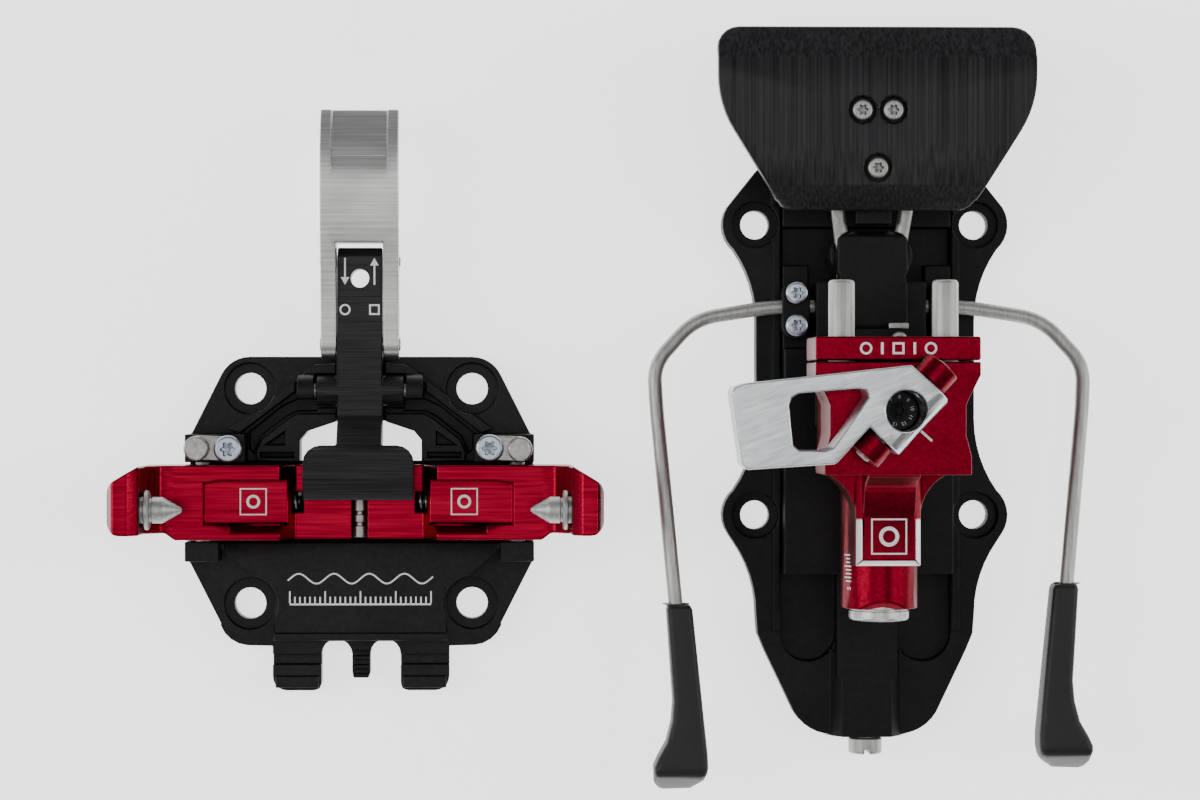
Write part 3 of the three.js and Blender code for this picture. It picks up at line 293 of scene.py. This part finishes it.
def bare_metals():
    raw = metal("raw_aluminium", (0.42, 0.43, 0.44), (0.66, 0.67, 0.68), (0.24, 0.36),
                (0.1, 1, 1), 1600, 0.22, turn=-20)
    raw.bump(raw.rings(0.6, tuple((TURRET + Vector((-6, -30, 0))) * MM)), 0.3, 0.00005)
    raw.scratch(7)
    return {
        "raw_aluminium": raw,
        "silver_anodised": metal("silver_anodised", (0.38, 0.38, 0.37), (0.6, 0.6, 0.585), (0.32, 0.42),
                                 (0.015, 1, 1), 2600, 0.3),
        "stainless": metal("stainless", (0.3, 0.3, 0.29), (0.5, 0.5, 0.48), (0.44, 0.54),
                           (1, 0.04, 1), 2600, 0.16),
        "zinc": metal("zinc", (0.3, 0.34, 0.4), (0.52, 0.56, 0.62), (0.26, 0.38), line_scale=1800),
        "nickel": metal("nickel", (0.26, 0.25, 0.235), (0.46, 0.45, 0.43), (0.36, 0.46), line_scale=1500),
        "spring_steel": metal("spring_steel", (0.12, 0.12, 0.13), (0.3, 0.3, 0.31), (0.3, 0.4),
                              line_scale=1800),
    }


def foot_plastic():
    """Moulded plastic with a fine grain; its slanted end face, turned rearwards, is coloured a lighter grey.
    """
    shader = Shader("black_plastic", (0.005, 0.005, 0.0055), 0.5, 0.0, 0.35)
    grain = shader.noise(3200, 2.0)
    face = shader.add("ShaderNodeSeparateXYZ", Vector=shader.add("ShaderNodeTexCoord").outputs["Normal"])
    end = shader.add("ShaderNodeMapRange", Value=face.outputs["Y"], From_Min=-0.55, From_Max=-0.75)
    shader.tint(end.outputs[0], (0.006, 0.006, 0.0065), (0.13, 0.13, 0.13), (0, 1))
    shader.gloss(grain, 0.4, 0.58)
    shader.bump(shader.noise(500, 4.0), 0.15, 0.00012)
    shader.bump(grain, 0.25, 0.00005)
    return shader


def engraving():
    """Slightly uneven white, as laser marks are."""
    shader = Shader("engraved_white", (0.86, 0.86, 0.85), 0.55, 0.0)
    shader.tint(shader.noise(900, 3.0), (0.72, 0.72, 0.71), (0.9, 0.9, 0.89))
    return shader


MATERIAL = {
    **blacks(), **reds(), **bare_metals(),
    "black_plastic": foot_plastic(), "engraved_white": engraving(),
}
SPECIAL = {"rocker_arm": "black_arm", "brake_pad": "black_pedal"}


def dress(obj, look):
    """Gives an object its only material."""
    obj.data.materials.clear()
    obj.data.materials.append(MATERIAL[look].material)


def fine_edges(node, width):
    """Rounds a CAD node's sharp edges by a modifier and shades its curved walls smooth."""
    obj = NODES[node]
    for polygon in obj.data.polygons:
        polygon.use_smooth = True
    weld = obj.modifiers.new("weld", "WELD")
    weld.merge_threshold = 2e-6
    flats = obj.modifiers.new("flats", "DECIMATE")
    flats.decimate_type = "DISSOLVE"
    flats.angle_limit = math.radians(1.0)
    facets = obj.modifiers.new("facets", "TRIANGULATE")
    facets.min_vertices = 5
    bevel = obj.modifiers.new("edges", "BEVEL")
    bevel.limit_method = "ANGLE"
    bevel.angle_limit = math.radians(32)
    bevel.width = width * MM
    bevel.segments = 2
    bevel.use_clamp_overlap = False
    bevel.loop_slide = False
    normals = obj.modifiers.new("normals", "WEIGHTED_NORMAL")
    normals.keep_sharp = False
    normals.weight = 60
    dress(obj, SPECIAL.get(node, SLOT_OF[node]))


# ---- fine pieces that stand for plain CAD ones ------------------------------------------------------
def new_piece(name, mesh_data, node, look, smooth_angle):
    """Links a finished mesh as a piece on its node's body, in place of that node."""
    mesh = bpy.data.meshes.new(name)
    mesh_data.to_mesh(mesh)
    mesh_data.free()
    obj = bpy.data.objects.new(name, mesh)
    bpy.context.scene.collection.objects.link(obj)
    mesh.shade_smooth()
    mesh.set_sharp_from_angle(angle=math.radians(smooth_angle))
    dress(obj, look)
    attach(obj, BODY_OF[node])
    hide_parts(node)


def rings_mesh(rings):
    """Skins equal rings of points, given in mm, with quads, and closes both ends."""
    mesh = bmesh.new()
    rows = [[mesh.verts.new(Vector(point) * MM) for point in ring] for ring in rings]
    count = len(rings[0])
    for lower, upper in zip(rows, rows[1:]):
        for i in range(count):
            j = (i + 1) % count
            mesh.faces.new((lower[i], lower[j], upper[j], upper[i]))
    mesh.faces.new(reversed(rows[0]))
    mesh.faces.new(rows[-1])
    bmesh.ops.recalc_face_normals(mesh, faces=mesh.faces)
    return mesh


def frame_along(direction):
    """Two unit vectors square to a direction."""
    direction = Vector(direction).normalized()
    side = direction.cross(Vector((0, 0, 1)) if abs(direction.z) < 0.9 else Vector((1, 0, 0))).normalized()
    return side, direction.cross(side)


def turned_rings(steps, start, direction, sides=56):
    """Rings of a turned piece: (radius, distance along the axis) steps, in mm."""
    side, other = frame_along(direction)
    direction = Vector(direction).normalized()
    turns = [2 * math.pi * i / sides for i in range(sides)]
    spokes = [side * math.cos(t) + other * math.sin(t) for t in turns]
    return [[Vector(start) + direction * along + spoke * max(radius, TIP) for spoke in spokes]
            for radius, along in steps]


def level_ring(centre, radius_of, z, sides=72):
    """An upright piece's ring; its radius depends on the angle."""
    turns = [2 * math.pi * i / sides for i in range(sides)]
    return [(centre.x + radius_of(t) * math.cos(t), centre.y + radius_of(t) * math.sin(t), z) for t in turns]


def plain(radius):
    """The radius of a round ring, for level_ring."""
    return lambda turn: radius


QUARTER = (0, math.pi / 6, math.pi / 3, math.pi / 2)     # steps round a rounded edge
TIP = 0.02                                               # radius where a turned end closes


def rounded_steps(length, radius, chamfer):
    """A plain pin with rounded-over ends."""
    nose = [(radius - chamfer * (1 - math.sin(a)), chamfer * (1 - math.cos(a))) for a in QUARTER]
    tail = [(r, length - along) for r, along in reversed(nose)]
    return [(0, 0), *nose, *tail, (0, length)]


def lobed_screw(node):
    """A cap screw with a rounded head and a deep six-lobe recess."""
    low, high = (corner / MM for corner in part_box(node))
    centre, top = (low + high) / 2, high.z
    head = (high.x - low.x) / 2
    shank = 0.612 * head
    seat = top - max(1.0, 0.62 * head)
    socket = 0.52 * head

    def lobed(scale):
        return lambda turn: scale * socket * (0.84 + 0.16 * math.cos(6 * turn))

    edge = 0.22 * head
    rounds = [(plain(head - edge * (1 - math.cos(a))), top - edge * (1 - math.sin(a))) for a in QUARTER]
    levels = [
        (plain(TIP), low.z), (plain(shank), low.z), (plain(shank), seat),
        (plain(head * 0.96), seat), (plain(head), seat + 0.08), *rounds,
        (lobed(1.1), top), (lobed(1.0), top - 0.08 * head), (lobed(0.97), top - 0.85 * head),
        (plain(0.3 * socket), top - 0.9 * head), (plain(TIP), top - 0.95 * head),
    ]
    rings = [level_ring(centre, radius_of, z) for radius_of, z in levels]
    new_piece(f"{node}_fine", rings_mesh(rings), node, SLOT_OF[node], 32)


def path_mesh(corners, bend, radius):
    """A round wire along straight stretches with rounded corners, in mm."""
    corners = [Vector(c) for c in corners]
    points = [corners[0]]
    for before, corner, after in zip(corners, corners[1:], corners[2:]):
        back, ahead = before - corner, after - corner
        reach = min(bend, back.length * 0.45, ahead.length * 0.45)
        enter, leave = corner + back.normalized() * reach, corner + ahead.normalized() * reach
        for i in range(13):
            t = i / 12
            points.append(enter * (1 - t) ** 2 + corner * 2 * t * (1 - t) + leave * t ** 2)
    points.append(corners[-1])
    return tube_mesh(points, radius, 20)


def tube_mesh(points, radius, sides):
    """A closed tube whose section doesn't twist."""
    side = frame_along(points[1] - points[0])[0]
    rings = []
    for i, point in enumerate(points):
        ahead = points[min(i + 1, len(points) - 1)] - points[max(i - 1, 0)]
        ahead.normalize()
        side = (side - ahead * side.dot(ahead)).normalized()
        other = ahead.cross(side)
        rings.append([point + (side * math.cos(t) + other * math.sin(t)) * radius
                      for t in (2 * math.pi * k / sides for k in range(sides))])
    return rings_mesh(rings)


def coil(node, axis, wire, turns):
    """A real coil in the space of the plain sleeve that stands for it."""
    low, high = (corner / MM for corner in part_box(node))
    centre = (low + high) / 2
    other_axes = [i for i in range(3) if i != axis]
    outer = (high[other_axes[0]] - low[other_axes[0]]) / 2
    length = high[axis] - low[axis]
    steps = turns * 20
    points = []
    for i in range(steps + 1):
        t = 2 * math.pi * turns * i / steps
        point = centre.copy()
        point[axis] = low[axis] + wire + (length - 2 * wire) * i / steps
        point[other_axes[0]] += (outer - wire) * 0.97 * math.cos(t)
        point[other_axes[1]] += (outer - wire) * 0.97 * math.sin(t)
        points.append(point)
    new_piece(f"{node}_coil", tube_mesh(points, wire * 0.92, 10), node, "spring_steel", 40)


# ---- the binding's own pieces ---------------------------------------------------------------------
MILLED = {  # edge radius in mm of each milled or moulded piece
    "toe_base": 0.2, "toe_jaw_left": 0.35, "toe_jaw_right": 0.35, "rocker_arm": 0.25, "lever": 0.25,
    "stop_plate_left": 0.3, "stop_plate_right": 0.3, "heel_base": 0.25, "carriage": 0.3, "brake_pad": 0.4,
    "brake_pad_bracket": 0.3, "brake_block": 0.35, "brake_latch": 0.3, "latch_clip": 0.12,
    "brake_clamp_left": 0.2, "brake_clamp_right": 0.2, "brake_foot_left": 1.1, "brake_foot_right": 1.1,
    "turret_body": 0.25, "turret_front_plate": 0.35, "riser": 0.35, "turret_spindle": 0.2,
    "jaw_axle_left": 0.15, "jaw_axle_right": 0.15, "jaw_link_pin": 0.1, "rocker_axle": 0.15,
    "lever_hinge_pin": 0.15, "lever_detent_pin_left": 0.1, "lever_detent_pin_right": 0.1,
    "riser_pin_1": 0.15, "riser_pin_2": 0.15, "adjuster_screw": 0.2,
}


def centre_of(node):
    """The middle of a node's box, in mm."""
    low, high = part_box(node)
    return (low + high) / 2 / MM


def make_toe_pins():
    """Hardened cone pins with a collar."""
    steps = [
        (0, 0), (0.3, 0.02), (0.55, 0.25), (2.4, 3.45), (2.55, 3.8), (2.55, 5.6), (2.3, 5.8), (2.3, 6.1),
        (3.5, 6.2), (3.8, 6.45), (3.8, 7.0), (3.6, 7.15), (2.6, 7.2), (2.6, 11), (0, 11),
    ]
    for side, name in SIDES:
        node = f"toe_pin_{name}"
        centre = centre_of(node)
        rings = turned_rings(steps, (side * 33.5, centre.y, centre.z), (side, 0, 0))
        new_piece(f"{node}_fine", rings_mesh(rings), node, "stainless", 30)


def make_studs():
    """Round studs with a broken upper edge."""
    for _, name in SIDES:
        node = f"stop_stud_{name}"
        low, high = (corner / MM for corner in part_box(node))
        centre, height = (low + high) / 2, high.z - low.z
        steps = [
            (0, 0), (2.2, 0), (2.4, 0.2), (2.4, height - 0.45), (2.3, height - 0.18), (2.05, height),
            (0, height),
        ]
        rings = turned_rings(steps, (centre.x, centre.y, low.z), (0, 0, 1))
        new_piece(f"{node}_fine", rings_mesh(rings), node, "nickel", 30)


def make_heel_pins():
    """Plain steel pins with rounded ends."""
    for _, name in SIDES:
        node = f"heel_pin_{name}"
        low, high = (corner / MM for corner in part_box(node))
        centre = (low + high) / 2
        steps = rounded_steps(high.y - low.y, PIN_RADIUS, 0.7)
        rings = turned_rings(steps, (centre.x, low.y, centre.z), (0, 1, 0))
        new_piece(f"{node}_fine", rings_mesh(rings), node, "stainless", 30)


def make_release_cap():
    """A threaded plug with a stepped rim and a shallow dish in its end."""
    low, high = (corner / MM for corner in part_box("release_cap"))
    centre, length = (low + high) / 2, high.y - low.y
    steps = [(0, 0), (5.2, 0)]
    for turn in range(4):
        steps += [(4.85, 0.3 + 0.45 * turn), (5.2, 0.52 + 0.45 * turn)]
    steps += [(5.2, 2.3), (5.8, 2.5), (5.8, 4.6), (5.55, 4.75), (5.55, 5.0), (5.8, 5.15)]
    rim_and_dish = [
        (5.8, 0.7), (5.6, 0.35), (5.1, 0.12), (4.3, 0), (4.0, 0),
        (3.6, 0.35), (1.4, 0.5), (1.2, 0.9), (0, 0.9),
    ]
    steps += [(radius, length - depth) for radius, depth in rim_and_dish]
    rings = turned_rings(steps, (centre.x, high.y, centre.z), (0, -1, 0), 72)
    new_piece("release_cap_fine", rings_mesh(rings), "release_cap", "silver_anodised", 25)


def brake_wire_corners(side, arm_front):
    """The same route as the CAD wire, from under the pedal to the foot."""
    right = [
        (8.6, 71.5, 17.6), (7.2, 60, 15.2), (5.2, 46, 12.2), (5.2, 37.7, 9), (19, 37.7, 9),
        (34.6, 35.2, 9.4), (42.7, 26.2, 10.4), (42.3, 18, 11), (38.1, arm_front - 6, 14),
    ]
    return [(HEEL.x + side * x, y, z) for x, y, z in right]


def make_brake_wires():
    """Smooth bent wires from the pedal to the feet."""
    for side, name in SIDES:
        arm_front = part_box(f"brake_foot_{name}")[1].y / MM
        mesh = path_mesh(brake_wire_corners(side, arm_front), WIRE_BEND, WIRE_RADIUS)
        new_piece(f"brake_wire_{name}_fine", mesh, f"brake_wire_{name}", "stainless", 60)


def make_coils():
    """The springs that can be glimpsed inside."""
    for _, name in SIDES:
        coil(f"jaw_spring_{name}", axis=0, wire=0.4, turns=11)
    coil("brake_spring", axis=0, wire=0.55, turns=5)
    coil("release_spring", axis=1, wire=0.8, turns=10)


def make_screws():
    """Every six-lobe screw of both units."""
    for node in NODES:
        if "_screw_" in node:
            lobed_screw(node)


def make_dial():
    """The numbered release dial, with a hexagon socket."""
    low, high = (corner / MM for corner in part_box("lateral_dial"))
    centre, top = (low + high) / 2, high.z

    def hexagon(turn):
        return 1.05 / math.cos((turn % (math.pi / 3)) - math.pi / 6)

    levels = [
        (plain(TIP), low.z), (plain(DIAL_RADIUS - 0.05), low.z), (plain(DIAL_RADIUS), low.z + 0.1),
        (plain(DIAL_RADIUS), top - 0.25), (plain(DIAL_RADIUS - 0.15), top), (plain(1.6), top),
        (plain(1.5), top - 0.12), (hexagon, top - 0.2), (hexagon, top - 1.6), (plain(TIP), top - 1.9),
    ]
    rings = [level_ring(centre, radius_of, z) for radius_of, z in levels]
    new_piece("lateral_dial_fine", rings_mesh(rings), "lateral_dial", "black_anodised", 25)
    marks = bmesh.new()
    digits_at = 2.55
    for i, number in enumerate(range(5, 14)):
        turn = math.radians(200 - 38 * i)
        spot = (centre.x + digits_at * math.cos(turn), centre.y + digits_at * math.sin(turn), top)
        place = Matrix.Translation(spot)
        add_text(marks, str(number), 0.95, place @ Matrix.Rotation(turn - math.pi / 2, 4, "Z"))
    add_marks("lateral_dial_numbers", marks, "lateral_dial")


# ---- engraved marks: thin raised strips in white ------------------------------------------------------
MARK_HEIGHT = 0.04


def add_strip(mesh, start, end, width, z, height=MARK_HEIGHT):
    """A straight mark between two plan points, in mm."""
    start, end = Vector((*start, z)), Vector((*end, z))
    ahead = (end - start).normalized()
    side = Vector((-ahead.y, ahead.x, 0)) * width / 2
    base = [start - side, end - side, end + side, start + side]
    add_prism(mesh, base, Vector((0, 0, height)))


def add_prism(mesh, outline, rise):
    """A closed solid between an outline and its lifted copy."""
    low = [mesh.verts.new(p) for p in outline]
    high = [mesh.verts.new(p + rise) for p in outline]
    count = len(outline)
    mesh.faces.new(list(reversed(low)))
    mesh.faces.new(high)
    for i in range(count):
        j = (i + 1) % count
        mesh.faces.new((low[i], low[j], high[j], high[i]))


def add_ring(mesh, centre, radius, width, z):
    """A round mark with an open middle."""
    sides = 36
    points = [(math.cos(2 * math.pi * i / sides), math.sin(2 * math.pi * i / sides)) for i in range(sides)]
    inner, top = radius - width, z + MARK_HEIGHT
    rows = []
    for r, height in ((radius, z), (radius, top), (inner, top), (inner, z)):
        rows.append([mesh.verts.new((centre[0] + r * x, centre[1] + r * y, height)) for x, y in points])
    for k in range(4):
        lower, upper = rows[k], rows[(k + 1) % 4]
        for i in range(sides):
            j = (i + 1) % sides
            mesh.faces.new((lower[i], lower[j], upper[j], upper[i]))


def add_square(mesh, centre, half, width, z):
    """A square frame of four strips."""
    x0, x1 = centre[0] - half, centre[0] + half
    y0, y1 = centre[1] - half, centre[1] + half
    inset = width / 2
    add_strip(mesh, (x0, y0 + inset), (x1, y0 + inset), width, z)
    add_strip(mesh, (x0, y1 - inset), (x1, y1 - inset), width, z)
    add_strip(mesh, (x0 + inset, y0 + width), (x0 + inset, y1 - width), width, z)
    add_strip(mesh, (x1 - inset, y0 + width), (x1 - inset, y1 - width), width, z)


def add_arrow(mesh, tail, tip, width, z):
    """A straight arrow with a solid head."""
    tail, tip = Vector(tail), Vector(tip)
    ahead = (tip - tail).normalized()
    side = Vector((-ahead.y, ahead.x))
    neck = tip - ahead * 1.5
    add_strip(mesh, tail, neck, width, z)
    head = [neck - side * 0.85, tip, neck + side * 0.85]
    add_prism(mesh, [Vector((*p, z)) for p in head], Vector((0, 0, MARK_HEIGHT)))


def add_text(mesh, words, size, place):
    """Digits as thin solids, centred on the place, in mm."""
    curve = bpy.data.curves.new("digits", "FONT")
    curve.body, curve.size, curve.extrude = words, size, MARK_HEIGHT / 2
    curve.align_x = curve.align_y = "CENTER"
    curve.resolution_u = 3
    holder = bpy.data.objects.new("digits", curve)
    solid = bpy.data.meshes.new_from_object(holder)
    solid.transform(place @ Matrix.Translation((0, 0, MARK_HEIGHT / 2)))
    mesh.from_mesh(solid)
    bpy.data.objects.remove(holder)
    bpy.data.meshes.remove(solid)


def add_marks(name, mesh, node):
    """Makes the marks, drawn in mm, one piece that rides with the node's body."""
    bmesh.ops.scale(mesh, vec=(MM, MM, MM), verts=mesh.verts)
    bmesh.ops.recalc_face_normals(mesh, faces=mesh.faces)
    data = bpy.data.meshes.new(name)
    mesh.to_mesh(data)
    mesh.free()
    obj = bpy.data.objects.new(name, data)
    bpy.context.scene.collection.objects.link(obj)
    dress(obj, "engraved_white")
    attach(obj, BODY_OF[node])


def mark_jaws():
    """Plain framed rings in the jaws' pockets."""
    for side, name in SIDES:
        marks = bmesh.new()
        centre = (side * 20.65, -0.75)
        add_square(marks, centre, 2.65, 0.26, POCKET_FLOOR)
        add_ring(marks, centre, 1.35, 0.5, POCKET_FLOOR)
        add_marks(f"jaw_mark_{name}", marks, f"toe_jaw_{name}")


def mark_toe_base():
    """A ruler with a wave line in front of it."""
    marks = bmesh.new()
    half, line_y = 14, -21.4
    add_strip(marks, (-half, line_y), (half, line_y), 0.35, TOE_DECK)
    for i in range(2 * half + 1):
        x = i - half
        add_strip(marks, (x, line_y + 0.2), (x, line_y + (1.5 if i % 7 else 2.6)), 0.3, TOE_DECK)

    def wave(x):
        return x, -16.3 + math.sin(0.9 * x)

    step = 0.6
    for i in range(48):
        x = -14.4 + step * i
        stagger = 0.002 * (i % 2)     # neighbouring strips overlap, so their tops must not coincide
        add_strip(marks, wave(x), wave(x + step), 0.3, TOE_DECK + stagger)
    add_marks("toe_base_ruler", marks, "toe_base")


def mark_rocker_arm():
    """Two arrows for the two directions, each over a plain sign."""
    marks = bmesh.new()
    left, right = -2.9, 2.9
    rear, front = 41.9, 47.2
    add_arrow(marks, (left, front), (left, rear), 0.34, ARM_TOP)
    add_arrow(marks, (right, rear), (right, front), 0.34, ARM_TOP)
    add_ring(marks, (left, 37), 1.1, 0.35, ARM_TOP)
    add_square(marks, (right, 37), 1.05, 0.35, ARM_TOP)
    add_marks("rocker_arm_arrows", marks, "rocker_arm")


def mark_spine():
    """A framed ring on the ridge along the tube."""
    marks = bmesh.new()
    centre = (HEEL.x, -6.6)
    add_square(marks, centre, 3.4, 0.3, SPINE_TOP)
    add_ring(marks, centre, 1.9, 0.7, SPINE_TOP)
    add_marks("turret_spine_mark", marks, "turret_body")


def mark_front_plate(top):
    """A row of plain signs: ring, bar, square, bar, ring."""
    marks = bmesh.new()
    pitch, row_y = 3, 28.7
    for end in (-2, 2):
        add_ring(marks, (HEEL.x + end * pitch, row_y), 1.15, 0.4, top)
    for end in (-1, 1):
        x = HEEL.x + end * pitch
        add_strip(marks, (x, row_y - 1.1), (x, row_y + 1.1), 0.5, top)
    add_square(marks, (HEEL.x, row_y), 1.1, 0.4, top)
    add_marks("turret_plate_signs", marks, "turret_front_plate")


def mark_tube():
    """A scale with one digit, low on the tube's left side."""
    marks = bmesh.new()
    to_side = Matrix.Translation((HEEL.x, 0, TUBE_AXIS)) @ Matrix.Rotation(math.radians(-58), 4, "Y")
    for i in range(8):
        y = -10.6 - 0.72 * i
        start = -0.9 if i % 3 else -1.3
        tick = bmesh.new()
        add_strip(tick, (start, y), (0.6, y), 0.26, TUBE_RADIUS - 0.04, 0.09)
        tick.transform(to_side)
        part = bpy.data.meshes.new("tick")
        tick.to_mesh(part)
        tick.free()
        marks.from_mesh(part)
        bpy.data.meshes.remove(part)
    below = Matrix.Translation((0, -17.0, TUBE_RADIUS - 0.02)) @ Matrix.Rotation(math.pi / 2, 4, "Z")
    add_text(marks, "5", 1.5, to_side @ below)
    add_marks("turret_tube_scale", marks, "turret_body")


def mark_index(top):
    """The line beside the dial that its numbers are read against."""
    marks = bmesh.new()
    axis = TURRET.to_2d()
    add_strip(marks, axis + Vector((3.75, -3.4)), axis + Vector((6.2, -5.6)), 0.45, top)
    add_marks("turret_index", marks, "turret_body")


def write_sizes():
    """Brings the view layer up to date."""
    bpy.context.view_layer.update()


make_camera()
make_studio()
for milled, edge_width in MILLED.items():
    fine_edges(milled, edge_width)
make_toe_pins()
make_studs()
make_heel_pins()
make_release_cap()
make_brake_wires()
make_coils()
make_screws()
make_dial()
mark_jaws()
mark_toe_base()
mark_rocker_arm()
mark_spine()
turret_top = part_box("turret_front_plate")[1].z / MM
mark_front_plate(turret_top)
mark_tube()
mark_index(turret_top)
write_sizes()
